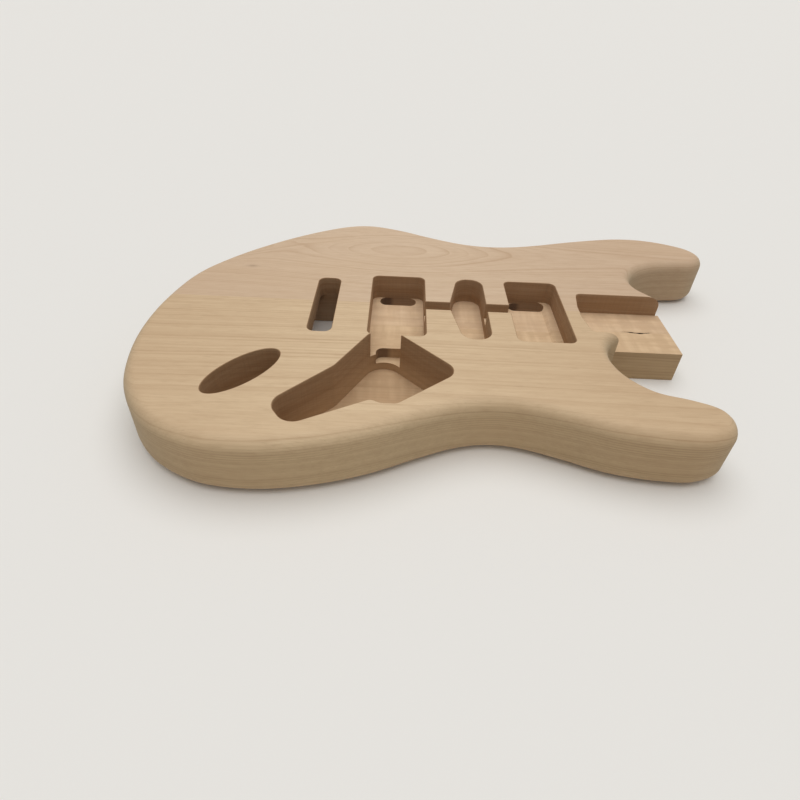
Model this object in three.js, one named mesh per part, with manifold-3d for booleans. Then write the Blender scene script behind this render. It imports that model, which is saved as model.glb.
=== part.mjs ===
// Raw wooden body of an electric guitar, glued up from two boards and routed, with no finish or hardware.
// Millimetres. +X runs along the centreline to the neck, +Y to the bass side, +Z out of the top face.
// The origin is on the back face, on the centreline, under the neck pocket.
import * as THREE from 'three';
import { mergeGeometries, mergeVertices } from 'three/addons/utils/BufferGeometryUtils.js';
import Module from 'manifold-3d';

// The blank and its edge
const BODY_LENGTH = 488;
const BODY_WIDTH = 317.6;
const BODY_THICKNESS = 44.5;
const BUTT_SHARE = 0.6998;
const BUTT_REACH = BODY_LENGTH * BUTT_SHARE;
const EDGE_RADIUS = 9.5;
const EDGE_STEPS = 4;
const STEPS_PER_SPAN = 3;
const LONGEST_STEP = 8;

// Outline, counter-clockwise from the butt: share of the length from the butt,
// and share of the width from the centreline
const bodyOutlineShares = [
  [0.0000, -0.1134], [0.0059, -0.2298], [0.0281, -0.3432], [0.0748, -0.4408], [0.1404, -0.4975],
  [0.2141, -0.5110], [0.2879, -0.4969], [0.3617, -0.4628], [0.4355, -0.4099], [0.4846, -0.3785],
  [0.5297, -0.3659], [0.5727, -0.3725], [0.6219, -0.3964], [0.6875, -0.4326], [0.7490, -0.4484],
  [0.8011, -0.4476], [0.8389, -0.4193], [0.8485, -0.3749], [0.8382, -0.3404], [0.8040, -0.3144],
  [0.7592, -0.2916], [0.7285, -0.2406], [0.7180, -0.1795], [0.7277, -0.1234], [0.7500, -0.0894],
  [0.7838, -0.0425], [0.8145, -0.0441], [0.8719, -0.0378], [0.8924, 0.0126], [0.8545, 0.0901],
  [0.8402, 0.1178], [0.8258, 0.1496], [0.8232, 0.1921], [0.8420, 0.2424], [0.8832, 0.2790],
  [0.9293, 0.2925], [0.9682, 0.3023], [0.9918, 0.3275], [1.0000, 0.3637], [0.9875, 0.4099],
  [0.9477, 0.4484], [0.8965, 0.4707], [0.8432, 0.4717], [0.7879, 0.4547], [0.7264, 0.4282],
  [0.6629, 0.3974], [0.6137, 0.3794], [0.5645, 0.3741], [0.5154, 0.3866], [0.4580, 0.4200],
  [0.4006, 0.4603], [0.3432, 0.4865], [0.2838, 0.4855], [0.2203, 0.4588], [0.1547, 0.3999],
  [0.0912, 0.3016], [0.0420, 0.1716], [0.0105, 0.0189],
];

// Forearm contour: the top falls away beyond a bowed crease across the bass lower bout.
// Each crease runs between two points of the outline, and each band beyond it is steeper
const armCreaseShares = [[0.0277, 0.0850], [0.3330, 0.4880]];
const armBowShare = 0.0487;
const ARM_STEP = 8;
const armSlopes = [0.07, 0.14, 0.21, 0.21];

// Belly contour: the back rises beyond a bowed crease at the waist of the bass side
const bellyCreaseShares = [[0.1383, 0.3526], [0.6793, 0.3936]];
const bellyBowShare = 0.1623;
const BELLY_STEP = 12;
const bellySlopes = [0.09, 0.18, 0.27, 0.27, 0.27];
const ARC_STEPS = 12;

// Neck pocket and the heel block under it
const POCKET_LENGTH = 78.2;
const POCKET_WIDTH = 56.8;
const POCKET_DEPTH = 18.4;
const POCKET_END_ROOT = 2.4;
const POCKET_END_BOW = 6.5;
const POCKET_BOW_SHARE = 0.79;
const POCKET_CORNER = 4.5;
const HEEL_ROOT = 2.8;
const HEEL_SEAT_X = 38.5;

// Pickup cavities
const HUMBUCKER_LENGTH = 44.5;
const HUMBUCKER_WIDTH = 89.5;
const HUMBUCKER_CORNER = 5.5;
const PICKUP_DEPTH = 21.8;
const NECK_CAVITY_X = -35.9;
const NECK_CAVITY_Y = -0.6;
const BRIDGE_CAVITY_X = -149.3;
const BRIDGE_CAVITY_Y = 0.1;
const LEG_LENGTH = 31.4;
const LEG_WIDTH = 12.4;
const LEG_DEPTH = 30.7;
const LEG_CORNER_SHARE = 0.45;
const PLUNGE_WIDTH = 9.4;
const PLUNGE_DEPTH = 34.7;
const PLUNGE_CLEARANCE = 0.6;
const NECK_STEP_LENGTH = 8.8;
const NECK_STEP_HEIGHT = 2;
const MIDDLE_CAVITY_X = -77.3;
const MIDDLE_CAVITY_Y = -0.5;
const MIDDLE_LENGTH = 30.4;
const MIDDLE_END_LENGTH = 21.5;
const MIDDLE_WIDTH = 89.8;
const MIDDLE_CORNER_SHARE = 0.484;
const MIDDLE_BELLY_SHARE = 1.1;

// Wiring channel cut straight from cavity to cavity
const CHANNEL_WIDTH = 11.5;
const CHANNEL_DEPTH = 14;
const CHANNEL_Y = -0.6;

// Vibrato: the slot through the top, the wider block well and the spring cavity in the back
const SLOT_LENGTH = 18.4;
const SLOT_WIDTH = 80.4;
const SLOT_X = -208;
const SLOT_Y = -3.2;
const SLOT_CORNER = 5.8;
const BLOCK_LENGTH = 36;
const BLOCK_X = -210.5;
const BLOCK_DEPTH = 28;
const SPRING_LENGTH = 104;
const SPRING_WIDTH = 54;
const SPRING_DEPTH = 16;
const SPRING_FAR_X = -93;
const BACK_CORNER = 6;

// Control cavity, its corners as shares of its own length and width
const CONTROL_LENGTH = 125.2;
const CONTROL_WIDTH = 114.6;
const CONTROL_LEFT = -229.5;
const CONTROL_NEAR = -144;
const CONTROL_DEPTH = 37.4;
const APEX_RADIUS = 15.3;
const BEND_RADIUS = 12;
const END_RADIUS = 11.5;
const BAY_RADIUS = 5;
const TIP_RADIUS = 9.8;
const controlCornerShares = [
  [0.5415, 1.0000], [0.3043, 0.5209], [0.0000, 0.1728], [0.1190, 0.0000],
  [0.5160, 0.2321], [0.5711, 0.2051], [0.6550, 0.2051], [1.0000, 0.5140],
];
const controlRadii = [
  APEX_RADIUS, BEND_RADIUS, END_RADIUS, END_RADIUS, BAY_RADIUS, BAY_RADIUS, BAY_RADIUS, TIP_RADIUS,
];

// Oval jack recess and the drilled wire passages
const JACK_X = -253;
const JACK_Y = -93.3;
const JACK_LONG_RADIUS = 31.2;
const JACK_SHORT_RADIUS = 13.3;
const JACK_TURN_DEGREES = 49.9;
const JACK_DEPTH = 36;
const WIRE_BORE_RADIUS = 4;
const WIRE_BORE_LENGTH = 60;
const WIRE_BORE_X = -238;
const WIRE_BORE_Y = -114;
const WIRE_BORE_Z = 13;
const GROUND_BORE_RADIUS = 2;
const GROUND_BORE_LENGTH = 14;
const GROUND_BORE_Y = 31;
const GROUND_BORE_Z = 12.5;
const BORE_SIDES = 16;

// Cutters run past the faces that they open, and the workshop block is larger than the body
const OVERRUN = 4;
const BLOCK_SPAN = 1400;
const WELD = 0.0001;
const CORNER_STEPS = 3;
const ARCS_SHARE = 0.98;
const OVAL_STEPS = 20;

const wasm = await Module();
wasm.setup();

const solidFrom = (geometry) => {
  geometry.deleteAttribute('normal');
  geometry.deleteAttribute('uv');
  const welded = mergeVertices(geometry, WELD);
  const vertProperties = Float32Array.from(welded.attributes.position.array);
  const triVerts = Uint32Array.from(welded.index.array);
  return new wasm.Manifold(new wasm.Mesh({ numProp: 3, vertProperties, triVerts }));
};

const meshFrom = (solid, name, material) => {
  const cut = solid.getMesh();
  const geometry = new THREE.BufferGeometry();
  geometry.setAttribute('position', new THREE.BufferAttribute(Float32Array.from(cut.vertProperties), 3));
  geometry.setIndex(new THREE.BufferAttribute(Uint32Array.from(cut.triVerts), 1));
  geometry.computeVertexNormals();
  const mesh = new THREE.Mesh(geometry, material);
  mesh.name = name;
  return mesh;
};

// A straight-walled piece of a plan shape between two heights
const prism = (shape, low, high) => {
  const geometry = new THREE.ExtrudeGeometry(shape, {
    depth: high - low,
    bevelEnabled: false,
    curveSegments: CORNER_STEPS,
  });
  geometry.translate(0, 0, low);
  return solidFrom(geometry);
};

const box = (lowX, highX, lowY, highY, low, high) => {
  const geometry = new THREE.BoxGeometry(highX - lowX, highY - lowY, high - low);
  geometry.translate((lowX + highX) / 2, (lowY + highY) / 2, (low + high) / 2);
  return solidFrom(geometry);
};

// A closed plan shape whose corners are rounded by arcs of the given radii, or square at zero.
// Arcs that would overrun the side between them shrink to fit it
const roundedShape = (corners, radii) => {
  const next = (index) => (index + 1) % corners.length;
  const last = (index) => (index + corners.length - 1) % corners.length;
  const sides = corners.map((corner, index) => corners[next(index)].clone().sub(corner));
  const halfAngles = sides.map((side, index) => sides[last(index)].clone().negate().angleTo(side) / 2);
  const reaches = halfAngles.map((halfAngle, index) => radii[index] / Math.tan(halfAngle));
  const fits = sides.map((side, index) =>
    Math.min(1, (side.length() * ARCS_SHARE) / (reaches[index] + reaches[next(index)])));
  const shape = new THREE.Shape();
  corners.forEach((corner, index) => {
    const back = sides[last(index)].clone().negate().normalize();
    const ahead = sides[index].clone().normalize();
    const halfAngle = halfAngles[index];
    const radius = radii[index] * Math.min(fits[last(index)], fits[index]);
    if (radius === 0) {
      shape.lineTo(corner.x, corner.y);
      return;
    }
    const reach = radius / Math.tan(halfAngle);
    const start = corner.clone().addScaledVector(back, reach);
    const end = corner.clone().addScaledVector(ahead, reach);
    const middle = back.clone().add(ahead).normalize();
    const centre = corner.clone().addScaledVector(middle, radius / Math.sin(halfAngle));
    const clockwise = back.x * ahead.y - back.y * ahead.x > 0;
    const startAngle = Math.atan2(start.y - centre.y, start.x - centre.x);
    const endAngle = Math.atan2(end.y - centre.y, end.x - centre.x);
    shape.absarc(centre.x, centre.y, radius, startAngle, endAngle, clockwise);
  });
  shape.closePath();
  return shape;
};

const rectangle = (centreX, centreY, length, width, radius) => {
  const corners = [
    new THREE.Vector2(centreX - length / 2, centreY - width / 2),
    new THREE.Vector2(centreX + length / 2, centreY - width / 2),
    new THREE.Vector2(centreX + length / 2, centreY + width / 2),
    new THREE.Vector2(centreX - length / 2, centreY + width / 2),
  ];
  return roundedShape(corners, corners.map(() => radius));
};

const cylinderAlong = (axis, radius, length, x, y, z) => {
  const geometry = new THREE.CylinderGeometry(radius, radius, length, BORE_SIDES);
  if (axis === 'x') geometry.rotateZ(Math.PI / 2);
  geometry.translate(x, y, z);
  return solidFrom(geometry);
};

const planPoint = ([alongShare, acrossShare]) =>
  new THREE.Vector2(alongShare * BODY_LENGTH - BUTT_REACH, acrossShare * BODY_WIDTH);

// The arcs of a contour, widest first, and how far the surface moves at a plan point
const contourOf = (creaseShares, bowShare, step, slopes) => {
  const [from, to] = creaseShares.map(planPoint);
  const chord = to.clone().sub(from);
  const bow = bowShare * chord.length();
  const radius = (chord.lengthSq() / 4 + bow * bow) / (bow * 2);
  const outward = new THREE.Vector2(-chord.y, chord.x).setLength(radius - bow);
  const centre = from.clone().lerp(to, 1 / 2).add(outward);
  const depthAt = (x, y) => {
    const inside = radius - Math.hypot(x - centre.x, y - centre.y);
    return slopes.reduce((depth, slope, index) => {
      const into = Math.max(inside - index * step, 0);
      return depth + slope * (index === slopes.length - 1 ? into : Math.min(into, step));
    }, 0);
  };
  return { centre, radii: slopes.map((slope, index) => radius - index * step), depthAt };
};
const armContour = contourOf(armCreaseShares, armBowShare, ARM_STEP, armSlopes);
const bellyContour = contourOf(bellyCreaseShares, bellyBowShare, BELLY_STEP, bellySlopes);

// The outline, with more points where the curve's own points are far apart
const ends = bodyOutlineShares.map(planPoint);
const outlineCurve = new THREE.CatmullRomCurve3(
  ends.map((point) => new THREE.Vector3(point.x, point.y, 0)), true, 'centripetal');
const outline = ends.flatMap((from, index) => {
  const run = from.distanceTo(ends[(index + 1) % ends.length]);
  const steps = Math.max(STEPS_PER_SPAN, Math.ceil(run / LONGEST_STEP));
  return Array.from({ length: steps }, (_, step) => {
    const point = outlineCurve.getPoint((index + step / steps) / ends.length);
    return new THREE.Vector2(point.x, point.y);
  });
});

// The rounded rim and the walls of the blank, without its flat faces
const blankGeometry = new THREE.ExtrudeGeometry(new THREE.Shape(outline), {
  depth: BODY_THICKNESS - EDGE_RADIUS * 2,
  bevelThickness: EDGE_RADIUS,
  bevelSize: EDGE_RADIUS,
  bevelOffset: -EDGE_RADIUS,
  bevelSegments: EDGE_STEPS,
});
blankGeometry.translate(0, 0, EDGE_RADIUS);
const wallGroup = blankGeometry.groups[1];
const wallEnd = (wallGroup.start + wallGroup.count) * 3;
const wallPositions = blankGeometry.attributes.position.array.slice(wallGroup.start * 3, wallEnd);
const walls = new THREE.BufferGeometry();
walls.setAttribute('position', new THREE.BufferAttribute(wallPositions, 3));

// The rim of a flat face, in order, starting at its point farthest from the contour's centre
const rimAt = (height, centre) => {
  const rim = [];
  const seen = new Set();
  for (let at = 0; at < wallPositions.length; at += 3) {
    const point = new THREE.Vector2(wallPositions[at], wallPositions[at + 1]);
    const key = point.toArray().join();
    if (Math.abs(wallPositions[at + 2] - height) < WELD && !seen.has(key)) {
      seen.add(key);
      rim.push(point);
    }
  }
  const distances = rim.map((point) => point.distanceTo(centre));
  const start = distances.indexOf(Math.max(...distances));
  return [...rim.slice(start), ...rim.slice(0, start)];
};

// A flat face parted along the arcs of its contour, so that the contour can bend there
const partedFace = (height, contour) => {
  const { centre, radii } = contour;
  const rim = rimAt(height, centre);
  const gapsTo = (radius) => rim.map((point) => point.distanceTo(centre) - radius);
  const crossing = radii.filter((radius) => gapsTo(radius).some((gap) => gap < 0));
  const bands = crossing.map((radius) => {
    const gaps = gapsTo(radius);
    const first = gaps.findIndex((gap) => gap < 0);
    const final = gaps.length - 1 - [...gaps].reverse().findIndex((gap) => gap < 0);
    const enter = Math.abs(gaps[first]) < Math.abs(gaps[first - 1]) ? first : first - 1;
    const leave = Math.abs(gaps[final]) < Math.abs(gaps[final + 1]) ? final : final + 1;
    const startAngle = rim[enter].clone().sub(centre).angle();
    const endAngle = rim[leave].clone().sub(centre).angle();
    const arc = new THREE.EllipseCurve(
      centre.x, centre.y, radius, radius, startAngle, endAngle, startAngle > endAngle);
    return { enter, leave, arc: arc.getPoints(ARC_STEPS).slice(1, -1) };
  });
  const outer = bands[0];
  const inner = bands[bands.length - 1];
  const faces = [[...rim.slice(0, outer.enter + 1), ...outer.arc, ...rim.slice(outer.leave)]];
  bands.slice(1).forEach((band, index) => {
    const wider = bands[index];
    const end = band.arc.length - 1;
    faces.push([...rim.slice(wider.enter, band.enter + 1), band.arc[0], wider.arc[0]]);
    for (let at = 0; at < end; at += 1) {
      faces.push([wider.arc[at], band.arc[at], band.arc[at + 1], wider.arc[at + 1]]);
    }
    faces.push([...rim.slice(band.leave, wider.leave + 1), wider.arc[end], band.arc[end]]);
  });
  faces.push([...rim.slice(inner.enter, inner.leave + 1), ...[...inner.arc].reverse()]);
  return faces.map((points) => {
    const face = new THREE.ShapeGeometry(new THREE.Shape(points));
    face.translate(0, 0, height);
    return face;
  });
};
const bare = (geometry) => {
  const plain = geometry.index ? geometry.toNonIndexed() : geometry;
  plain.deleteAttribute('normal');
  plain.deleteAttribute('uv');
  return plain;
};
const topFaces = partedFace(BODY_THICKNESS, armContour);
const backFaces = partedFace(0, bellyContour);
backFaces.forEach((face) => face.index.array.reverse());

// The skin follows the two contours, and the rounded edge goes with it
const carvedGeometry = mergeGeometries([walls, ...topFaces, ...backFaces].map(bare));
const positions = carvedGeometry.attributes.position;
for (let at = 0; at < positions.count; at += 1) {
  const x = positions.getX(at);
  const y = positions.getY(at);
  const z = positions.getZ(at);
  if (z > BODY_THICKNESS - EDGE_RADIUS - WELD) positions.setZ(at, z - armContour.depthAt(x, y));
  if (z < EDGE_RADIUS + WELD) positions.setZ(at, z + bellyContour.depthAt(x, y));
}
const carved = solidFrom(carvedGeometry);
const span = BLOCK_SPAN / 2;

// The square heel block, flush with the pocket's treble wall, and the trimmed end of the bass wall
const halfPocket = POCKET_WIDTH / 2;
const heel = box(HEEL_ROOT, POCKET_LENGTH, -halfPocket, halfPocket, 0, BODY_THICKNESS);
const endTrim = box(POCKET_LENGTH, span, -halfPocket, halfPocket, -span, span);
let body = carved.add(heel).subtract(endTrim);

const top = BODY_THICKNESS + OVERRUN;
const below = -OVERRUN;
const cut = (tool) => {
  body = body.subtract(tool);
};

// Neck pocket: a shallow bow across its end wall, open at the heel's end
const pocketEnd = POCKET_LENGTH + OVERRUN;
const bowRadius = (halfPocket * halfPocket * POCKET_BOW_SHARE) / POCKET_END_BOW;
cut(prism(
  roundedShape(
    [
      new THREE.Vector2(POCKET_END_ROOT, halfPocket),
      new THREE.Vector2(POCKET_END_ROOT - POCKET_END_BOW, 0),
      new THREE.Vector2(POCKET_END_ROOT, -halfPocket),
      new THREE.Vector2(pocketEnd, -halfPocket),
      new THREE.Vector2(pocketEnd, halfPocket),
    ],
    [POCKET_CORNER, bowRadius, POCKET_CORNER, 0, 0],
  ),
  BODY_THICKNESS - POCKET_DEPTH,
  top,
));

// A pickup cavity with a deeper slot for the mounting leg at each end, and a shallower step on request.
// Each slot has the deeper hole in which the cutter was started, at its end nearest the butt
const plungeAt = (x) => x - (LEG_LENGTH - PLUNGE_WIDTH) / 2 + PLUNGE_CLEARANCE;
const humbuckerCavity = (x, y, stepLength) => {
  const stepHeight = stepLength > 0 ? NECK_STEP_HEIGHT : 0;
  cut(prism(
    rectangle(x, y, HUMBUCKER_LENGTH, HUMBUCKER_WIDTH, HUMBUCKER_CORNER),
    BODY_THICKNESS - PICKUP_DEPTH + stepHeight, top));
  cut(prism(
    rectangle(x - stepLength / 2, y, HUMBUCKER_LENGTH - stepLength, HUMBUCKER_WIDTH, HUMBUCKER_CORNER),
    BODY_THICKNESS - PICKUP_DEPTH, top));
  [-1, 1].forEach((side) => {
    const legY = y + side * (HUMBUCKER_WIDTH - LEG_WIDTH) / 2;
    cut(prism(
      rectangle(x, legY, LEG_LENGTH, LEG_WIDTH, LEG_WIDTH * LEG_CORNER_SHARE),
      BODY_THICKNESS - LEG_DEPTH, top));
    cut(prism(
      rectangle(plungeAt(x), legY, PLUNGE_WIDTH, PLUNGE_WIDTH, PLUNGE_WIDTH * LEG_CORNER_SHARE),
      BODY_THICKNESS - PLUNGE_DEPTH, top));
  });
};
humbuckerCavity(BRIDGE_CAVITY_X, BRIDGE_CAVITY_Y, 0);
humbuckerCavity(NECK_CAVITY_X, NECK_CAVITY_Y, NECK_STEP_LENGTH);

// Middle cavity: straight towards the neck, bellied out towards the bridge
const middleFar = MIDDLE_CAVITY_Y + MIDDLE_WIDTH / 2;
const middleNear = MIDDLE_CAVITY_Y - MIDDLE_WIDTH / 2;
const middleCorner = MIDDLE_END_LENGTH * MIDDLE_CORNER_SHARE;
cut(prism(
  roundedShape(
    [
      new THREE.Vector2(MIDDLE_CAVITY_X, middleNear),
      new THREE.Vector2(MIDDLE_CAVITY_X, middleFar),
      new THREE.Vector2(MIDDLE_CAVITY_X - MIDDLE_END_LENGTH, middleFar),
      new THREE.Vector2(MIDDLE_CAVITY_X - MIDDLE_LENGTH, MIDDLE_CAVITY_Y),
      new THREE.Vector2(MIDDLE_CAVITY_X - MIDDLE_END_LENGTH, middleNear),
    ],
    [middleCorner, middleCorner, middleCorner, MIDDLE_END_LENGTH * MIDDLE_BELLY_SHARE, middleCorner],
  ),
  BODY_THICKNESS - PICKUP_DEPTH,
  top,
));

// Wiring channel from the bridge cavity through the middle cavity to the neck cavity
cut(box(
  BRIDGE_CAVITY_X, NECK_CAVITY_X,
  CHANNEL_Y - CHANNEL_WIDTH / 2, CHANNEL_Y + CHANNEL_WIDTH / 2,
  BODY_THICKNESS - CHANNEL_DEPTH, top));

// Control cavity, which opens into the near end of the bridge cavity
cut(prism(
  roundedShape(
    controlCornerShares.map(([alongShare, acrossShare]) => new THREE.Vector2(
      CONTROL_LEFT + alongShare * CONTROL_LENGTH,
      CONTROL_NEAR + acrossShare * CONTROL_WIDTH)),
    controlRadii,
  ),
  BODY_THICKNESS - CONTROL_DEPTH,
  top,
));

// Oval jack recess
const oval = new THREE.Shape();
oval.absellipse(
  JACK_X, JACK_Y, JACK_LONG_RADIUS, JACK_SHORT_RADIUS,
  0, Math.PI * 2, false, THREE.MathUtils.degToRad(JACK_TURN_DEGREES));
const ovalShape = new THREE.Shape(oval.getPoints(OVAL_STEPS).slice(0, -1));
cut(prism(ovalShape, BODY_THICKNESS - JACK_DEPTH, top));

// Vibrato slot, block well and spring cavity
cut(prism(rectangle(SLOT_X, SLOT_Y, SLOT_LENGTH, SLOT_WIDTH, SLOT_CORNER), below, top));
cut(prism(rectangle(BLOCK_X, SLOT_Y, BLOCK_LENGTH, SLOT_WIDTH, BACK_CORNER), below, BLOCK_DEPTH));
cut(prism(
  rectangle(SPRING_FAR_X - SPRING_LENGTH / 2, 0, SPRING_LENGTH, SPRING_WIDTH, BACK_CORNER),
  below, SPRING_DEPTH));

// Drilled passages: jack recess to control cavity, and spring cavity to the bridge cavity's far leg slot
cut(cylinderAlong('x', WIRE_BORE_RADIUS, WIRE_BORE_LENGTH, WIRE_BORE_X, WIRE_BORE_Y, WIRE_BORE_Z));
const groundBoreX = plungeAt(BRIDGE_CAVITY_X);
cut(cylinderAlong('y', GROUND_BORE_RADIUS, GROUND_BORE_LENGTH, groundBoreX, GROUND_BORE_Y, GROUND_BORE_Z));

// The two boards meet face to face on the glue joint along the centreline
const bassBoard = body.intersect(box(-span, span, 0, span, -span, span));
const trebleBoard = body.intersect(box(-span, span, -span, 0, -span, span));

const bassWood = new THREE.MeshStandardMaterial({ color: '#d2b596', roughness: 0.78, metalness: 0 });
const trebleWood = new THREE.MeshStandardMaterial({ color: '#d0b08b', roughness: 0.78, metalness: 0 });

const guitarBody = new THREE.Group();
guitarBody.add(meshFrom(bassBoard, 'bass_side_board', bassWood));
guitarBody.add(meshFrom(trebleBoard, 'treble_side_board', trebleWood));
guitarBody.position.set(-HEEL_SEAT_X, 0, 0);

export default guitarBody;
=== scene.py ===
import math

import bmesh
import bpy
import numpy as np
from bpy.props import FloatProperty, FloatVectorProperty, IntProperty, PointerProperty
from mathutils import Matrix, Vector
from mathutils.geometry import delaunay_2d_cdt


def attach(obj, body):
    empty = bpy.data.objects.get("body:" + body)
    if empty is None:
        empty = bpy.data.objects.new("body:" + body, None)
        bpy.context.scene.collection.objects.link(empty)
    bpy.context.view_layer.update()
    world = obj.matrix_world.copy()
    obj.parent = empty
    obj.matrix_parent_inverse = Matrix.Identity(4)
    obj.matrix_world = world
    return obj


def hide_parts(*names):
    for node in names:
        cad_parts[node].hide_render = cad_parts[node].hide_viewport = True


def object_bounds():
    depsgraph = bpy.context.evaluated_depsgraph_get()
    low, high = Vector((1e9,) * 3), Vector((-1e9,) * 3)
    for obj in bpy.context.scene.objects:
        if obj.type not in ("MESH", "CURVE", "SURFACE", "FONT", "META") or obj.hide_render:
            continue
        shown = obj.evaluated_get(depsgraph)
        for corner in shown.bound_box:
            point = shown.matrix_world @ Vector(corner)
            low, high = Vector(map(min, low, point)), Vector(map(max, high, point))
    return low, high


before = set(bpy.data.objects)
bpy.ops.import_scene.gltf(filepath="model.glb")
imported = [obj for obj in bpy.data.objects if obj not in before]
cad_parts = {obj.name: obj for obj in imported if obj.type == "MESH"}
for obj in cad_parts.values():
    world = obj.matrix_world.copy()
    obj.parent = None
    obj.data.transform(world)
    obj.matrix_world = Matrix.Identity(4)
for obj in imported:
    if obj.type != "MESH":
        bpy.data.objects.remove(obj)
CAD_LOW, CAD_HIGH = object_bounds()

bl_info = {
    "name": "Raw electric guitar body",
    "version": (1, 0, 0),
    "blender": (4, 5, 0),
    "location": "3D View > Sidebar > Guitar Body",
    "description": "Builds a routed, unfinished guitar body from its two glued boards",
    "category": "Object",
}

# Metres. +X runs along the centre joint to the neck, +Y to the bass side, +Z out of the top face.
# Places along the body are given from the end wall of the neck pocket.
MM = 0.001
BOARD_NODES = ("bass_side_board", "treble_side_board")
BODY_SIZE = CAD_HIGH - CAD_LOW
BODY_LENGTH, BODY_THICKNESS = BODY_SIZE.x, BODY_SIZE.z
POCKET_END_X = -38.5 * MM
WELD = 1e-5
OVERRUN = 4 * MM
BLANK = "blank"

# The outline is read off the frame between the belly contour and the rounded top edge
OUTLINE_HEIGHT_SHARE = 0.65
CLOSEST_POINTS = 0.5 * MM
STRAIGHT_TURN = 0.004

# Points past this place, and hardly further off the joint than the pocket's walls, are the heel block's
HEEL_SIDES_FROM = -10 * MM
HEEL_SIDES_SLACK = 0.2 * MM

# The rounded outline runs on out of sight inside the heel block, through these points.
# The first number is a share of the pocket's length, and the second a share of its half width.
HEEL_PATH = ((0.31, -1.0), (0.53, -0.48), (0.73, -0.50), (1.09, -0.42), (1.22, 0.14))

# Both ends of each contour's crease, as shares of the body's length from the butt and width from the joint
ARM_CREASE = ((0.0277, 0.0850), (0.3330, 0.4880))
BELLY_CREASE = ((0.1383, 0.3526), (0.6793, 0.3936))

# The control cavity's corners, as shares of its length and width, with their radii
CONTROL_CORNERS = (
    (0.5415, 1.0, 15.3 * MM), (0.3043, 0.5209, 12 * MM), (0.0, 0.1728, 11.5 * MM), (0.1190, 0.0, 11.5 * MM),
    (0.5160, 0.2321, 5 * MM), (0.5711, 0.2051, 5 * MM), (0.6550, 0.2051, 5 * MM), (1.0, 0.5140, 9.8 * MM),
)

# Corner radii as shares of the cut that they are on
LEG_ROUNDING = 0.45
RAMP_ROUNDING = 0.2
MIDDLE_ROUNDING = 0.484
MIDDLE_BELLY = 1.1

# How finely round things are made
CORNER_STEPS = 10
OVAL_POINTS = 72
BORE_SIDES = 32
CRACK_POINTS = 19
RIM_ANGLES = [math.radians(angle) for angle in (0, 30, 60, 80)]

# Each board comes from its own place in the log
BOARD_SHIFTS = {"bass": (3.1, 0.7, 5.3), "treble": (11.9, 4.2, 8.8)}

# The three kinds of surface on each board, in the order of its material slots
SANDED, WALL, FLOOR = range(3)
SURFACE_NAMES = ("sanded", "routed_wall", "routed_floor")

# Noise in the wood: its scale, how it is stretched along the three axes, its detail and its roughness
PATTERNS = {
    "fibre": (1000.0, (0.020, 1.0, 1.0), 2.0, 0.6),
    "pores": (1700.0, (0.06, 1.0, 1.0), 1.0, 0.5),
    "cloud": (16.0, (0.30, 1.0, 1.0), 3.0, 0.6),
    "speck": (240.0, (0.30, 1.0, 1.0), 2.0, 0.6),
    "drift": (8.0, (0.30, 1.0, 1.0), 1.0, 0.5),
    "wave": (70.0, (0.10, 1.0, 1.0), 1.0, 0.5),
    "place": (26.0, (0.22, 1.0, 1.0), 1.0, 0.5),
    "passes": (95.0, (0.10, 0.10, 3.0), 3.0, 0.6),
    "chatter": (900.0, (1.0, 1.0, 0.04), 1.0, 0.5),
    "cut_along": (120.0, (0.12, 1.0, 1.0), 2.0, 0.5),
    "cut_across": (120.0, (1.0, 0.12, 1.0), 2.0, 0.5),
    "bruise": (70.0, (1.0, 1.0, 1.0), 3.0, 0.6),
}

# These run through both boards alike, and the others are shifted by the board's own place
SHARED_PATTERNS = ("fibre", "pores", "place")

# Noise along the number of the ring: its scale and its detail for single years and for groups of them
YEARS = (3.7, 0.0)
YEAR_GROUPS = (0.45, 3.0)
CHANCE_ROUGHNESS = 0.6

# How strongly something shows: the two ends of its range, and its strength at each
SHOWS = {
    "late_end": (0.94, 1.0, 1.0, 0.0),
    "year": (0.40, 0.66, 0.20, 1.0),
    "place": (0.36, 0.64, 0.42, 1.0),
    "group": (0.42, 0.74, 0.0, 1.0),
    "fibre": (0.35, 0.75, 0.0, 0.22),
    "pores": (0.62, 0.74, 0.0, 1.0),
    "speck": (0.45, 0.75, 0.0, 0.16),
    "cloud": (0.38, 0.72, 0.0, 0.30),
    # Painted shade that darkens the boards towards both ends, away from their middle
    "ends": (0.45, 0.95, 0.28, 0.0),
    "knot": (0.10, 0.9, 0.0, 0.36),
    "plunge_darkening": (0.32, 0.70, 0.0, 0.66),
    "passes": (0.32, 0.70, 0.70, 0.94),
    "chatter": (0.40, 0.66, 0.0, 0.09),
    "bruise": (0.35, 0.68, 0.52, 0.76),
    "hatch": (0.20, 0.34, 0.30, 0.0),
    # Painted light: the walls of the deep cavities are paler the lower they lie
    "painted_wall_light": (0.25 * BODY_THICKNESS, 0.6 * BODY_THICKNESS, 0.38, 0.0),
    # Painted shade: the floors of the deep cavities are darkened the lower they lie
    "painted_floor_shade": (0.15 * BODY_THICKNESS, 0.5 * BODY_THICKNESS, 0.42, 0.0),
}

# How late in its ring a growth line darkens, and how strong single lines and groups of lines are
LATE_SHARPNESS = 4.0
LINE_SHARE, GROUP_SHARE = 0.70, 0.19

# The most that pores, the lines on each surface and end grain show of their own darker colours
PORE_STRENGTH = 0.16
LINES_ON = {SANDED: 0.32, WALL: 0.32, FLOOR: 0.40}
END_GRAIN_STRENGTH = 0.55

# How much of a colour is left where it is darkened
PORE_LEFT, SCORCH_LEFT, SIDE_LINE_LEFT = 0.55, 0.45, 0.7

# How far off its middle the knot, or the darkening in a leg slot, has faded by half
KNOT_ALONG, KNOT_ACROSS = 4.4 * MM, 1.7 * MM
PLUNGE_DARK_REACH = 5 * MM

# How far off the joint the painted shade in the crack may be
CRACK_SHADE_REACH = 1.2 * MM

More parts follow.
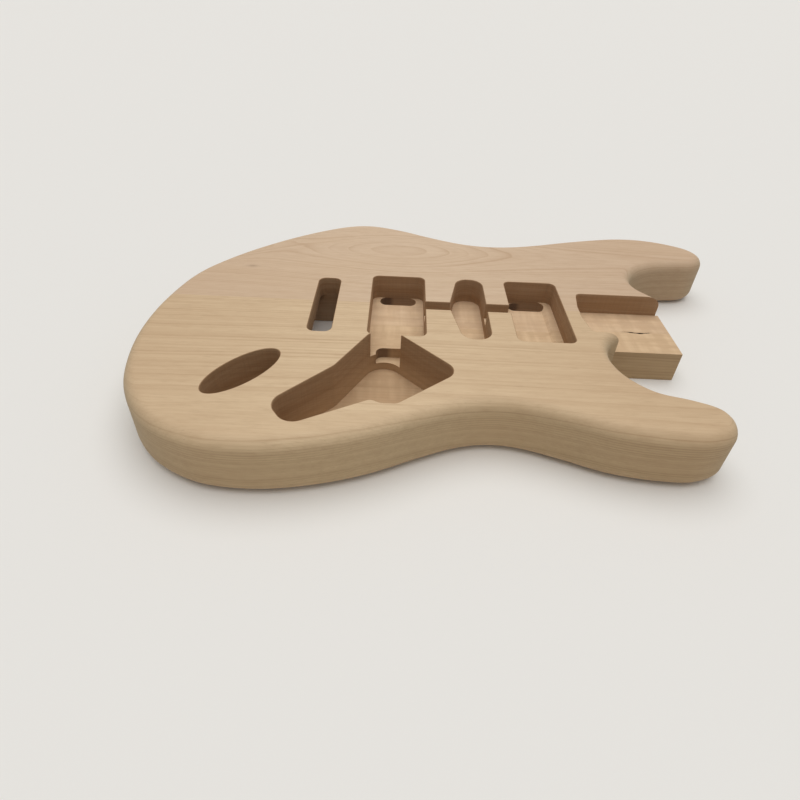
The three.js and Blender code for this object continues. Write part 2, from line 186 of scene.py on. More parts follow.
# The fine relief: what each pattern adds to it, its depth, and how strongly each surface shows it
RELIEF = {"fibre": 0.6, "pores": -0.5, "hatch": 1.5, "passes": 0.8}
RELIEF_DEPTH = 0.3 * MM
RELIEF_STRENGTH = {SANDED: 0.30, WALL: 0.55, FLOOR: 0.55}

# How much rougher the routed surfaces are than the sanded ones
ROUTED_ROUGHER = 0.1

# The places of a Mix node's colour sockets
MIX_FIRST, MIX_SECOND, MIX_RESULT = 6, 7, 2

# Edges that turn more than this stay crisp
SHARP_ANGLE = math.radians(32)

# The lamp stands here and points at the body's origin
LAMP_PLACE = (0.05, 0.25, 2.0)

# The floor is a hair under the body, so that the two don't fight over the same plane
FLOOR_TOP, FLOOR_BOTTOM = -0.2 * MM, -20 * MM

# The camera's sensor in its own millimetres, and the nearest thing that it sees
SENSOR_WIDTH = 36.0
NEAREST_SEEN = 10 * MM


def size(name, about, millimetres):
    """A length that a user may change."""
    return FloatProperty(name=name, description=about, default=millimetres * MM, min=0.0, precision=4,
                         subtype="DISTANCE", unit="LENGTH")


def place(name, about, millimetres):
    """A position along or across the body."""
    return FloatProperty(name=name, description=about, default=millimetres * MM, precision=4,
                         subtype="DISTANCE", unit="LENGTH")


def ratio(name, about, value, high=1.0):
    """A plain number without a unit."""
    return FloatProperty(name=name, description=about, default=value, min=0.0, max=high)


def tint(name, about, red, green, blue):
    """A colour given as it looks on screen, kept as the linear light that shaders use."""
    linear = [c / 12.92 if c <= 0.04045 else ((c + 0.055) / 1.055) ** 2.4 for c in (red, green, blue)]
    return FloatVectorProperty(name=name, description=about, default=linear, size=3, min=0.0, max=1.0,
                               subtype="COLOR")


class GuitarBlankSettings(bpy.types.PropertyGroup):
    """The sawn and sanded blank."""

    edge_radius: size("Edge radius", "Radius of the rounded edge round both faces", 9.5)
    edge_steps: IntProperty(name="Edge steps", description="Facets across the rounded edge", default=10,
                            min=2, max=32)
    outline_step: size("Outline step", "Distance between points round the outline", 1.8)
    face_step: size("Face step", "Distance between points on the flat faces", 5.0)
    arm_slope: ratio("Forearm slope", "Fall of the top beyond the forearm crease", 0.21)
    arm_lead: size("Forearm lead", "How far before its crease the forearm contour starts", 4.0)
    arm_run: size("Forearm run", "Width over which the forearm contour reaches its slope", 24.0)
    arm_bow: ratio("Forearm bow", "Bow of the forearm crease as a share of its length", 0.0487)
    belly_slope: ratio("Belly slope", "Rise of the back beyond the belly crease", 0.27)
    belly_lead: size("Belly lead", "How far before its crease the belly contour starts", 6.0)
    belly_run: size("Belly run", "Width over which the belly contour reaches its slope", 36.0)
    belly_bow: ratio("Belly bow", "Bow of the belly crease as a share of its length", 0.1623)
    heel_root: place("Heel root", "Where the square heel block starts", 2.8)


class GuitarCavitySettings(bpy.types.PropertyGroup):
    """Everything that is routed or drilled."""

    rim_ease: size("Rim ease", "Radius of the sanded edge round each cavity", 0.6)
    pocket_length: size("Pocket length", "Neck pocket from its end wall to the heel's end", 78.2)
    pocket_width: size("Pocket width", "Neck pocket across the body", 56.8)
    pocket_depth: size("Pocket depth", "Neck pocket below the top", 18.4)
    pocket_end_root: place("Pocket end root", "Where the pocket's end wall meets its side walls", 2.4)
    pocket_end_bow: size("Pocket end bow", "How far the end wall's two sides lean back to meet", 6.5)
    pocket_bow_share: ratio("Pocket bow share", "Share of the end wall that its bow takes up", 0.79)
    pocket_corner: size("Pocket corner", "Corner radius of the pocket", 4.5)
    crack_start: place("Crack start", "Where the open stretch of the joint starts in the pocket", 36.0)
    crack_length: size("Crack length", "Length of that open stretch", 28.0)
    crack_width: size("Crack width", "Width of that open stretch at its widest", 1.5)
    crack_depth: size("Crack depth", "Depth of that open stretch below the pocket's floor", 1.6)
    pickup_length: size("Pickup length", "Cavity of a double-coil pickup, along the strings", 44.5)
    pickup_width: size("Pickup width", "Cavity of a double-coil pickup, across the body", 89.5)
    pickup_corner: size("Pickup corner", "Corner radius of those cavities", 5.5)
    pickup_depth: size("Pickup depth", "Pickup cavities below the top", 21.8)
    neck_pickup_x: place("Neck pickup place", "Middle of the neck pickup cavity", -35.9)
    neck_pickup_y: place("Neck pickup offset", "Middle of the neck pickup cavity off the joint", -0.6)
    bridge_pickup_x: place("Bridge pickup place", "Middle of the bridge pickup cavity", -149.3)
    bridge_pickup_y: place("Bridge pickup offset", "Middle of the bridge pickup cavity off the joint", 0.1)
    leg_length: size("Leg slot length", "Slot for a pickup's mounting leg, along the strings", 31.4)
    leg_width: size("Leg slot width", "Slot for a pickup's mounting leg, across the body", 12.4)
    leg_depth: size("Leg slot depth", "Leg slots below the top", 30.7)
    plunge_width: size("Plunge width", "Deeper hole where the cutter was started in a leg slot", 9.4)
    plunge_depth: size("Plunge depth", "That hole below the top", 34.7)
    plunge_clearance: size("Plunge clearance", "That hole off the slot's butt end", 0.6)
    neck_step_length: size("Step length", "Shallower step at the neck end of the neck pickup cavity", 8.8)
    neck_step_height: size("Step height", "Height of that step over the cavity's floor", 2.0)
    neck_step_ramp: size("Step ramp", "Length of the slope up to that step", 2.4)
    middle_x: place("Middle pickup place", "Straight wall of the middle pickup cavity", -77.3)
    middle_y: place("Middle pickup offset", "Middle of that cavity off the joint", -0.5)
    middle_length: size("Middle pickup length", "Middle cavity at its widest along the strings", 30.4)
    middle_end_length: size("Middle pickup end", "Middle cavity at its ends, along the strings", 21.5)
    middle_width: size("Middle pickup width", "Middle cavity across the body", 89.8)
    channel_y: place("Channel offset", "Middle of the wiring channel off the joint", -0.6)
    channel_width: size("Channel width", "Wiring channel between the pickup cavities", 11.5)
    channel_depth: size("Channel depth", "Wiring channel below the top", 14.0)
    slot_x: place("Slot place", "Middle of the vibrato slot", -208.0)
    slot_y: place("Slot offset", "Middle of the vibrato slot off the joint", -3.2)
    slot_length: size("Slot length", "Vibrato slot along the strings", 18.4)
    slot_width: size("Slot width", "Vibrato slot across the body", 80.4)
    slot_corner: size("Slot corner", "Corner radius of the vibrato slot", 5.8)
    block_x: place("Block well place", "Middle of the wider well in the back", -210.5)
    block_length: size("Block well length", "Well for the vibrato block along the strings", 36.0)
    block_depth: size("Block well depth", "Well for the vibrato block from the back", 28.0)
    spring_far_x: place("Spring cavity end", "End of the spring cavity nearest the neck", -93.0)
    spring_length: size("Spring cavity length", "Spring cavity along the body", 104.0)
    spring_width: size("Spring cavity width", "Spring cavity across the body", 54.0)
    spring_depth: size("Spring cavity depth", "Spring cavity from the back", 16.0)
    back_corner: size("Back corner", "Corner radius of the cavities in the back", 6.0)
    control_x: place("Control cavity place", "Butt end of the control cavity", -229.5)
    control_y: place("Control cavity near side", "Treble side of the control cavity", -144.0)
    control_length: size("Control cavity length", "Control cavity along the body", 125.2)
    control_width: size("Control cavity width", "Control cavity across the body", 114.6)
    control_depth: size("Control cavity depth", "Control cavity below the top", 37.4)
    jack_x: place("Jack place", "Middle of the jack recess", -253.0)
    jack_y: place("Jack offset", "Middle of the jack recess off the joint", -93.3)
    jack_long: size("Jack half length", "Longer half of the oval jack recess", 31.2)
    jack_short: size("Jack half width", "Shorter half of the oval jack recess", 13.3)
    jack_turn: FloatProperty(name="Jack turn", description="Turn of the oval from the centre joint",
                             default=math.radians(49.9), subtype="ANGLE", unit="ROTATION")
    jack_depth: size("Jack depth", "Jack recess below the top", 36.0)
    wire_bore_radius: size("Wire bore radius", "Passage from the jack recess to the controls", 4.0)
    wire_bore_start: place("Wire bore start", "End of that passage in the jack recess", -268.0)
    wire_bore_end: place("Wire bore end", "End of that passage in the control cavity", -208.0)
    wire_bore_y: place("Wire bore offset", "That passage off the joint", -114.0)
    wire_bore_z: size("Wire bore height", "That passage above the back", 13.0)
    ground_bore_radius: size("Ground bore radius", "Passage from the spring cavity to the bridge pickup", 2.0)
    ground_bore_start: place("Ground bore start", "End of that passage in the spring cavity", 24.0)
    ground_bore_end: place("Ground bore end", "End of that passage in the leg slot", 38.0)
    ground_bore_z: size("Ground bore height", "That passage above the back", 12.5)


class GuitarWoodSettings(bpy.types.PropertyGroup):
    """Colours of the unfinished wood, where its marks are, and the painted shade laid on it."""

    bass_wood: tint("Bass board", "Sanded wood of the bass board", 0.845, 0.744, 0.63)
    bass_line: tint("Bass grain line", "Darker line of growth on the bass board", 0.67, 0.53, 0.40)
    treble_wood: tint("Treble board", "Sanded wood of the treble board", 0.86, 0.755, 0.61)
    treble_line: tint("Treble grain line", "Darker line of growth on the treble board", 0.64, 0.50, 0.355)
    warm: tint("Warm cloud", "Faint darker clouds in the wood", 0.79, 0.67, 0.53)
    routed_wall: tint("Routed wall", "Wood scorched by the cutter on cavity walls", 0.605, 0.458, 0.312)
    # Colour that darkens the leg slots' walls near where the cutter was started
    plunge_dark: tint("Burnt wood", "Wood burnt where the cutter was started", 0.34, 0.25, 0.19)
    routed_floor: tint("Routed floor", "Wood on the cavity floors", 0.90, 0.775, 0.62)
    end_grain: tint("End grain", "Wood where the fibres are cut across", 0.64, 0.605, 0.51)
    # Partly the real tone of the side grain and partly painted shade that darkens the sanded sides
    side_tone_and_shade: tint("Side cast", "What the sanded sides' colour is multiplied by", 0.905, 0.895, 0.86)
    # Painted shade: the boards are darkened towards both ends, least at this place
    painted_end_shade_middle: place("Palest place", "Where the boards are palest along the body", -150.0)
    painted_end_shade_length: size("Pale length", "How far from there the boards are half as pale", 190.0)
    knot: tint("Knot", "Small knot on the bass board", 0.42, 0.31, 0.22)
    knot_x: place("Knot place", "The knot along the body", -279.0)
    knot_y: place("Knot offset", "The knot off the joint", 53.0)
    # Painted shade: dark laid on the crack's inner faces below the pocket's floor
    crack: tint("Joint crack", "Open stretch of the glue joint on the pocket floor", 0.16, 0.11, 0.07)
    crack_shade_from: place("Crack colour start", "Where the dark of the crack may start along the body", 26.0)
    crack_shade_below: size("Crack colour top", "How far under the top the dark of the crack starts", 18.6)
    roughness: ratio("Roughness", "Roughness of the sanded wood", 0.72)


def grain_settings(heart_y, heart_z, oval_x, oval_length, oval_rise, spacing, drift, wave):
    """The settings of one board's grain, in millimetres. The heart is the middle of the growth rings."""
    return {
        "heart_y": place("Heart offset", "The heart off the joint", heart_y),
        "heart_z": place("Heart height", "The heart above the back", heart_z),
        "oval_x": place("Oval place", "Middle of the oval figure along the body", oval_x),
        "oval_length": size("Oval length", "Half length of the oval figure", oval_length),
        "oval_rise": place("Oval rise", "How far the heart bends up under the oval", oval_rise),
        "spacing": size("Ring spacing", "Thickness of one growth ring", spacing),
        "drift": size("Drift", "Slow wander of the rings", drift),
        "wave": size("Wave", "Fine waviness of the rings", wave),
    }


class GuitarBassGrainSettings(bpy.types.PropertyGroup):
    """How the bass board was sawn from the log."""

    __annotations__ = grain_settings(95.0, -34.1, -148.0, 100.0, 14.0, 1.7, 9.0, 1.2)


class GuitarTrebleGrainSettings(bpy.types.PropertyGroup):
    """How the treble board was sawn from the log."""

    __annotations__ = grain_settings(-158.0, -105.0, -120.0, 260.0, 4.0, 1.9, 7.0, 2.2)


class GuitarStageSettings(bpy.types.PropertyGroup):
    """Floor, light and camera."""

    floor: tint("Floor", "Pale floor under the body", 0.93, 0.92, 0.90)
    floor_size: FloatProperty(name="Floor size", description="Side of the square floor", default=12.0,
                              unit="LENGTH")
    sky: ratio("Sky", "Level of the even light from all round", 0.32, high=4.0)
    key: ratio("Key lamp", "Level of the soft light from above", 1.90, high=10.0)
    key_spread: FloatProperty(name="Key spread", description="Width of the sky that the lamp fills",
                              default=math.radians(70), subtype="ANGLE", unit="ROTATION")
    lens: FloatProperty(name="Lens", description="Focal length in millimetres", default=24.776, min=1.0)
    rise: FloatProperty(name="Lens rise", description="Shift of the picture down the sensor", default=-0.0481)
    camera_place: FloatVectorProperty(name="Camera place", description="Where the camera stands",
                                      default=(-188.33 * MM, -382.4 * MM, 279.16 * MM), subtype="TRANSLATION",
                                      unit="LENGTH")
    camera_turn: FloatVectorProperty(name="Camera turn", description="Tilt, lean and swing of the camera",
                                     default=[math.radians(a) for a in (52.436, -2.259, 1.066)],
                                     subtype="EULER", unit="ROTATION")


# Plan shapes

def along(x):
    """Turns a place measured from the pocket's end wall into one on the frame."""
    return x + POCKET_END_X


def rounded(corners, radii):
    """Points of a closed plan shape whose corners are arcs of the given radii, or square at zero."""
    corners = [Vector(corner) for corner in corners]
    points = []
    for index, corner in enumerate(corners):
        back = (corners[index - 1] - corner).normalized()
        ahead = (corners[(index + 1) % len(corners)] - corner).normalized()
        radius = radii[index]
        if radius == 0:
            points.append(corner)
            continue
        half = back.angle(ahead) / 2
        centre = corner + (back + ahead).normalized() * (radius / math.sin(half))
        start = corner + back * (radius / math.tan(half)) - centre
        end = corner + ahead * (radius / math.tan(half)) - centre
        turn = math.atan2(start.x * end.y - start.y * end.x, start.dot(end))
        count = max(2, math.ceil(abs(turn) / (math.pi / 2) * CORNER_STEPS))
        for step in range(count + 1):
            angle = math.atan2(start.y, start.x) + turn * step / count
            points.append(centre + Vector((math.cos(angle), math.sin(angle))) * radius)
    return np.array([tuple(point) for point in points])


def rectangle(x, y, length, width, radius):
    """A rectangle about a middle, with rounded corners."""
    corners = [(x - length / 2, y - width / 2), (x + length / 2, y - width / 2),
               (x + length / 2, y + width / 2), (x - length / 2, y + width / 2)]
    return rounded(corners, [radius] * 4)


def spread(points, reach):
    """A closed plan shape moved outwards along its own normals, by one reach or one for each point."""
    tangent = np.roll(points, -1, axis=0) - np.roll(points, 1, axis=0)
    tangent /= np.linalg.norm(tangent, axis=1)[:, None]
    normal = np.column_stack([tangent[:, 1], -tangent[:, 0]])
    return points + normal * np.reshape(reach, (-1, 1))


def between(t, low, high, first, second):
    """The point between two others at t, from low at the first to high at the second."""
    return ((high - t) * first + (t - low) * second) / (high - low)


def curve_through(points, step):
    """A closed smooth curve through the points, with points about one step apart."""
    made = []
    for index in range(len(points)):
        four = [points[(index + offset) % len(points)] for offset in (-1, 0, 1, 2)]
        knots = np.cumsum([0.0] + [math.sqrt(np.linalg.norm(b - a)) for a, b in zip(four, four[1:])])
        count = max(1, round(np.linalg.norm(four[2] - four[1]) / step))
        for t in knots[1] + (knots[2] - knots[1]) * np.arange(count) / count:
            first = [between(t, knots[i], knots[i + 1], four[i], four[i + 1]) for i in range(3)]
            second = [between(t, knots[i], knots[i + 2], first[i], first[i + 1]) for i in range(2)]
            made.append(between(t, knots[1], knots[2], *second))
    return np.array(made)


def evened(points, rounds=24, pull=0.5, push=-0.53):
    """A closed curve with its small unevenness smoothed out, without shrinking it."""
    for _ in range(rounds):
        for share in (pull, push):
            middle = (np.roll(points, 1, axis=0) + np.roll(points, -1, axis=0)) / 2
            points = points + (middle - points) * share
    return points


def turned_ccw(points):
    """The same closed plan shape, counter-clockwise."""
    x, y = points.T
    return points if np.sum(x * np.roll(y, -1) - y * np.roll(x, -1)) > 0 else points[::-1]


def frame_outline(height):
    """The outline of the body in plan, read off the frame's two boards at a height, counter-clockwise."""
    cut = bmesh.new()
    for name in BOARD_NODES:
        cut.from_mesh(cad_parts[name].data)
    bmesh.ops.remove_doubles(cut, verts=cut.verts, dist=WELD / 10)
    section = bmesh.ops.bisect_plane(cut, geom=cut.verts[:] + cut.edges[:] + cut.faces[:],
                                     plane_co=(0, 0, height), plane_no=(0, 0, 1))["geom_cut"]
    ways = {}
    for edge in section:
        if isinstance(edge, bmesh.types.BMEdge) and any(abs(vert.co.y) > WELD for vert in edge.verts):
            ends = [tuple(round(c / WELD) for c in vert.co.xy) for vert in edge.verts]
            if ends[0] != ends[1]:
                ways.setdefault(ends[0], set()).add(ends[1])
                ways.setdefault(ends[1], set()).add(ends[0])
    cut.free()
    loops = []
    while ways:
        loop = [next(iter(ways))]
        while loop:
            ahead = [end for end in ways.pop(loop[-1]) if end in ways]
            if not ahead:
                break
            loop.append(ahead[0])
        loops.append(np.array(loop, float) * WELD)
    outline = turned_ccw(max(loops, key=lambda loop: np.ptp(loop[:, 0])))
    outline = outline[np.linalg.norm(outline - np.roll(outline, 1, axis=0), axis=1) > CLOSEST_POINTS]
    into, out = outline - np.roll(outline, 1, axis=0), np.roll(outline, -1, axis=0) - outline
    turn = np.abs(into[:, 0] * out[:, 1] - into[:, 1] * out[:, 0])
    return outline[turn > STRAIGHT_TURN * np.linalg.norm(into, axis=1) * np.linalg.norm(out, axis=1)]


def blank_outline(blank, cavities):
    """The sawn outline: the frame's own, carried on inside the square heel block."""
    outline = frame_outline(OUTLINE_HEIGHT_SHARE * BODY_THICKNESS)
    half = cavities.pocket_width / 2
    heel = (outline[:, 0] > along(HEEL_SIDES_FROM)) & (np.abs(outline[:, 1]) < half + HEEL_SIDES_SLACK)
    first = next(i for i in range(len(outline)) if heel[i] and not heel[i - 1])
    outline, heel = np.roll(outline, -first, axis=0), np.roll(heel, -first)
    hidden = np.array([(along(a * cavities.pocket_length), b * half) for a, b in HEEL_PATH])
    smooth = evened(curve_through(np.vstack([hidden, outline[~heel]]), blank.outline_step))
    return np.clip(smooth, CAD_LOW.xy, CAD_HIGH.xy)


def edge_shares(outline, radius, fill=0.9, least_turn=1e-4, neighbours=(1, 2, 4), rounds=12):
    """How much of the edge radius fits at each point, a little less than one round a tight tip."""
    into, out = outline - np.roll(outline, 1, axis=0), np.roll(outline, -1, axis=0) - outline
    turn = np.arctan2(into[:, 0] * out[:, 1] - into[:, 1] * out[:, 0], np.sum(into * out, axis=1))
    room = np.where(turn > least_turn, np.linalg.norm(into, axis=1) / np.maximum(turn, least_turn), 1.0)
    shares = np.minimum(1.0, fill * room / radius)
    for offset in neighbours:
        shares = np.minimum(shares, np.minimum(np.roll(shares, offset), np.roll(shares, -offset)))
    for _ in range(rounds):
        shares = (np.roll(shares, 1) + shares * 2 + np.roll(shares, -1)) / 4
    return shares


# Meshes

def new_object(name, mesh):
    """Puts a mesh into the scene as an object of its own, at the origin."""
    made = bpy.data.objects.new(name, mesh)
    bpy.context.scene.collection.objects.link(made)
    return made


def object_from(name, shape):
    """Makes an object of the shape, and frees the shape."""
    mesh = bpy.data.meshes.new(name)
    shape.to_mesh(mesh)
    shape.free()
    return new_object(name, mesh)


def drop(*objects):
    """Takes helpers out of the scene again."""
    for item in objects:
        mesh = item.data
        bpy.data.objects.remove(item)
        bpy.data.meshes.remove(mesh)


def finished_mesh(item, name):
    """The object's mesh with its modifiers worked in."""
    bpy.context.view_layer.update()
    graph = bpy.context.evaluated_depsgraph_get()
    mesh = bpy.data.meshes.new_from_object(item.evaluated_get(graph), depsgraph=graph)
    mesh.name = name
    return mesh


def inside(points, rim):
    """Which points lie in a closed plan shape."""
    x, y = points.T
    hits = np.zeros(len(points), bool)
    for (ax, ay), (bx, by) in zip(rim, np.roll(rim, -1, axis=0)):
        if ay != by:
            hits ^= ((ay > y) != (by > y)) & (x < (bx - ax) * (y - ay) / (by - ay) + ax)
    return hits


def face_net(rim, step, clearance=0.6, nearness=1e-6):
    """Triangles over a closed plan shape: its rim's points first, then a net of points inside it."""
    low, high = rim.min(axis=0), rim.max(axis=0)
    rows = np.arange(low[1] + step / 2, high[1], step * math.sqrt(3) / 2)
    net = np.array([(x + (index % 2) * step / 2, y) for index, y in enumerate(rows)
                    for x in np.arange(low[0] + step / 4, high[0], step)])
    gap = np.min(np.linalg.norm(net[:, None, :] - rim[None, ::2, :], axis=2), axis=1)
    net = net[inside(net, rim) & (gap > step * clearance)]
    points = [Vector(point) / MM for point in (*rim, *net)]
    _, _, faces, origins, _, _ = delaunay_2d_cdt(points, [], [list(range(len(rim)))], 1, nearness)
    index = [origin[0] if origin else -1 for origin in origins]
    return net, [[index[corner] for corner in face] for face in faces]


def rough_blank(blank, cavities):
    """The blank with its rounded edge, before the contours are carved."""
    outline = blank_outline(blank, cavities)
    radius, steps = blank.edge_radius, blank.edge_steps
    shares = edge_shares(outline, radius)
    arc = [step / steps * math.pi / 2 for step in range(steps + 1)]
    levels = [(radius * (1 - math.sin(a)), radius * (1 - math.cos(a))) for a in reversed(arc)]
    levels += [(BODY_THICKNESS - z, inset) for z, inset in reversed(levels)]
    shape = bmesh.new()
    rings = [[shape.verts.new((x, y, z)) for x, y in spread(outline, -inset * shares)] for z, inset in levels]
    for low, high in zip(rings, rings[1:]):
        for i in range(len(low)):
            shape.faces.new((low[i - 1], low[i], high[i], high[i - 1]))
    net, faces = face_net(spread(outline, -radius * shares), blank.face_step)
    for ring, z, upwards in ((rings[-1], BODY_THICKNESS, True), (rings[0], 0.0, False)):
        verts = ring + [shape.verts.new((x, y, z)) for x, y in net]
        for face in faces:
            a, b, c = (verts[corner] for corner in face)
            level = (b.co - a.co).cross(c.co - a.co).z > 0
            shape.faces.new((a, b, c) if level == upwards else (c, b, a))
    return object_from("rough_blank", shape)


class Tree:
    """Adds nodes to a tree and joins them."""

    def __init__(self, tree):
        self.tree = tree

    def add(self, kind, inputs=(), **settings):
        """A new node with its settings made, and each input joined to a socket or given a value."""
        node = self.tree.nodes.new(kind)
        for name, value in settings.items():
            setattr(node, name, value)
        for key, value in (inputs.items() if isinstance(inputs, dict) else enumerate(inputs)):
            if isinstance(value, bpy.types.NodeSocket):
                self.tree.links.new(value, node.inputs[key])
            elif value is not None:
                node.inputs[key].default_value = value
        return node

    def math(self, operation, *values):
        """The result of one sum."""
        return self.add("ShaderNodeMath", values, operation=operation).outputs[0]


def contour_depth(tree, kind, position, values):
    """How far the skin moves at a plan point: nothing outside the contour's arc, then an even slope."""
    flat = tree.add("ShaderNodeCombineXYZ", {"X": position["X"], "Y": position["Y"]}).outputs[0]
    centre = values[kind + " centre"]
    reach = tree.add("ShaderNodeVectorMath", [flat, centre], operation="DISTANCE").outputs["Value"]
    into = tree.math("ADD", tree.math("SUBTRACT", values[kind + " radius"], reach), values[kind + " lead"])
    run, slope = values[kind + " run"], values[kind + " slope"]
    eased = tree.math("MINIMUM", tree.math("MAXIMUM", into, 0.0), run)
    curve = tree.math("DIVIDE", tree.math("MULTIPLY", eased, eased), tree.math("MULTIPLY", run, 2.0))
    rest = tree.math("MAXIMUM", tree.math("SUBTRACT", into, run), 0.0)
    return tree.math("MULTIPLY", tree.math("ADD", curve, rest), slope)


def contour_nodes():
    """The node tree that carves both contours into the blank and lets the rounded edge follow them."""
    group = bpy.data.node_groups.new("body_contours", "GeometryNodeTree")
    face = group.interface
    face.new_socket("Geometry", in_out="INPUT", socket_type="NodeSocketGeometry")
    face.new_socket("Geometry", in_out="OUTPUT", socket_type="NodeSocketGeometry")
    face.new_socket("Thickness", in_out="INPUT", socket_type="NodeSocketFloat")
    face.new_socket("Edge radius", in_out="INPUT", socket_type="NodeSocketFloat")
    for kind in ("Forearm", "Belly"):
        face.new_socket(kind + " centre", in_out="INPUT", socket_type="NodeSocketVector")
        for part in ("radius", "lead", "run", "slope"):
            face.new_socket(f"{kind} {part}", in_out="INPUT", socket_type="NodeSocketFloat")
    face.new_socket("Wood", in_out="INPUT", socket_type="NodeSocketMaterial")
    tree = Tree(group)
    values = tree.add("NodeGroupInput").outputs
    position = tree.add("ShaderNodeSeparateXYZ", [tree.add("GeometryNodeInputPosition").outputs[0]]).outputs
    z = position["Z"]
    above = tree.math("GREATER_THAN", z, tree.math(
        "SUBTRACT", tree.math("SUBTRACT", values["Thickness"], values["Edge radius"]), WELD))
    beneath = tree.math("LESS_THAN", z, tree.math("ADD", values["Edge radius"], WELD))
    fall = tree.math("MULTIPLY", above, contour_depth(tree, "Forearm", position, values))
    rise = tree.math("MULTIPLY", beneath, contour_depth(tree, "Belly", position, values))
    shift = tree.add("ShaderNodeCombineXYZ", {"Z": tree.math("SUBTRACT", rise, fall)}).outputs[0]
    carved = tree.add("GeometryNodeSetPosition", {"Geometry": values["Geometry"], "Offset": shift}).outputs[0]
    plain = tree.add("GeometryNodeRealizeInstances", [carved]).outputs[0]
    wood = tree.add("GeometryNodeSetMaterial", {"Geometry": plain, "Material": values["Wood"]}).outputs[0]
    tree.add("NodeGroupOutput", [wood])
    return group


def arc_through(start, end, bow):
    """Centre and radius of an arc that bows to the left of its chord's own left side."""
    chord = end - start
    rise = bow * chord.length
    radius = (chord.length_squared / 4 + rise * rise) / (2 * rise)
    return (start + end) / 2 + Vector((-chord.y, chord.x)).normalized() * (radius - rise), radius


def body_share(along_share, across_share):
    """A plan point given as shares of the body's length from the butt and of its width from the joint."""
    return Vector((CAD_LOW.x + along_share * BODY_LENGTH, across_share * BODY_SIZE.y))


def set_inputs(modifier, values):
    """Sets a node modifier's inputs by their names."""
    sockets = {item.name: item.identifier for item in modifier.node_group.interface.items_tree
               if item.item_type == "SOCKET" and item.in_out == "INPUT"}
    for name, value in values.items():
        modifier[sockets[name]] = value


def carve_contours(item, blank, wood):
    """Carves the forearm and belly contours and gives back the carved mesh."""
    values = {"Thickness": BODY_THICKNESS, "Edge radius": blank.edge_radius, "Wood": wood}
    for kind, part, crease in (("Forearm", "arm", ARM_CREASE), ("Belly", "belly", BELLY_CREASE)):
        centre, radius = arc_through(*(body_share(*end) for end in crease), getattr(blank, part + "_bow"))
        values.update({kind + " centre": (*centre, 0.0), kind + " radius": radius})
        for name in ("lead", "run", "slope"):
            values[f"{kind} {name}"] = getattr(blank, f"{part}_{name}")
    carve = item.modifiers.new("contours", "NODES")
    carve.node_group = contour_nodes()
    set_inputs(carve, values)
    return finished_mesh(item, "carved_blank")


def stack(name, points, levels, kinds):
    """A closed solid through one plan shape spread by a reach at each height; kinds are its surfaces."""
    shape, points = bmesh.new(), turned_ccw(points)
    rings = [[shape.verts.new((px, py, z)) for px, py in spread(points, reach)] for z, reach in levels]
    for low, high in zip(rings, rings[1:]):
        for i in range(len(low)):
            shape.faces.new((low[i - 1], low[i], high[i], high[i - 1])).material_index = kinds[1]
    shape.faces.new(rings[0][::-1]).material_index = kinds[0]
    shape.faces.new(rings[-1]).material_index = kinds[2]
    bmesh.ops.triangulate(shape, faces=[face for face in shape.faces if len(face.verts) > 4])
    return object_from(name, shape)


def slab(name, low, high):
    """A plain block between two corners."""
    corners = np.array([(low[0], low[1]), (high[0], low[1]), (high[0], high[1]), (low[0], high[1])])
    return stack(name, corners, [(low[2], 0.0), (high[2], 0.0)], (SANDED, SANDED, SANDED))


def eased_rim(ease):
    """How far in from the face and out from the wall a cavity's sanded edge is, from the wall to the face."""
    return [(ease - ease * math.sin(angle), ease - ease * math.cos(angle)) for angle in RIM_ANGLES]


def from_top(name, points, depth, ease=0.0, floor=FLOOR):
    """A cutter through the top face, with an eased rim where it has one."""
    top = BODY_THICKNESS
    rim = [(top - down, out) for down, out in eased_rim(ease)] if ease else []
    return stack(name, points, [(top - depth, 0.0), *rim, (top + OVERRUN, ease)], (floor, WALL, WALL))


def from_back(name, points, depth, ease):
    """A cutter through the back face, with an eased rim."""
    levels = [(-OVERRUN, ease), *reversed(eased_rim(ease)), (depth, 0.0)]
    return stack(name, points, levels, (WALL, WALL, FLOOR))


def bore(name, radius, start, end):
    """A drilled passage from one point to another."""
    shape = bmesh.new()
    bmesh.ops.create_cone(shape, cap_ends=True, cap_tris=True, segments=BORE_SIDES, radius1=radius,
                          radius2=radius, depth=(end - start).length)
    shape.transform((end - start).to_track_quat("Z", "Y").to_matrix().to_4x4())
    bmesh.ops.translate(shape, verts=shape.verts, vec=(start + end) / 2)
    for face in shape.faces:
        face.material_index = WALL
    return object_from(name, shape)


def joint_crack(cut, skew=1.2, fullness=0.9, unevenness=0.3, bumps=23, wander=0.6 * MM, bends=8):
    """A thin cutter that opens the glue joint for a stretch of the pocket's floor."""
    shares = np.linspace(0.0, 1.0, CRACK_POINTS)
    width = cut.crack_width / 2 * np.sin(shares ** skew * math.pi) ** fullness
    width = width * (1 + unevenness * np.sin(shares * bumps))
    path = np.column_stack([along(cut.crack_start) + shares * cut.crack_length,
                            wander * np.sin(shares * bends)])
    side = np.column_stack([np.zeros(len(shares)), width])
    gap = np.vstack([path - side, (path + side)[-2:0:-1]])
    floor = BODY_THICKNESS - cut.pocket_depth
    return stack("joint_crack", gap, [(floor - cut.crack_depth, 0.0), (floor + OVERRUN, 0.0)],
                 (FLOOR, FLOOR, FLOOR))


def pocket_shape(cut):
    """The neck pocket in plan, open at the heel's end."""
    half, root = cut.pocket_width / 2, along(cut.pocket_end_root)
    heel_end = along(cut.pocket_length) + OVERRUN
    bow_radius = half * half * cut.pocket_bow_share / cut.pocket_end_bow
    return rounded(
        [(root, half), (root - cut.pocket_end_bow, 0), (root, -half), (heel_end, -half), (heel_end, half)],
        [cut.pocket_corner, bow_radius, cut.pocket_corner, 0, 0])


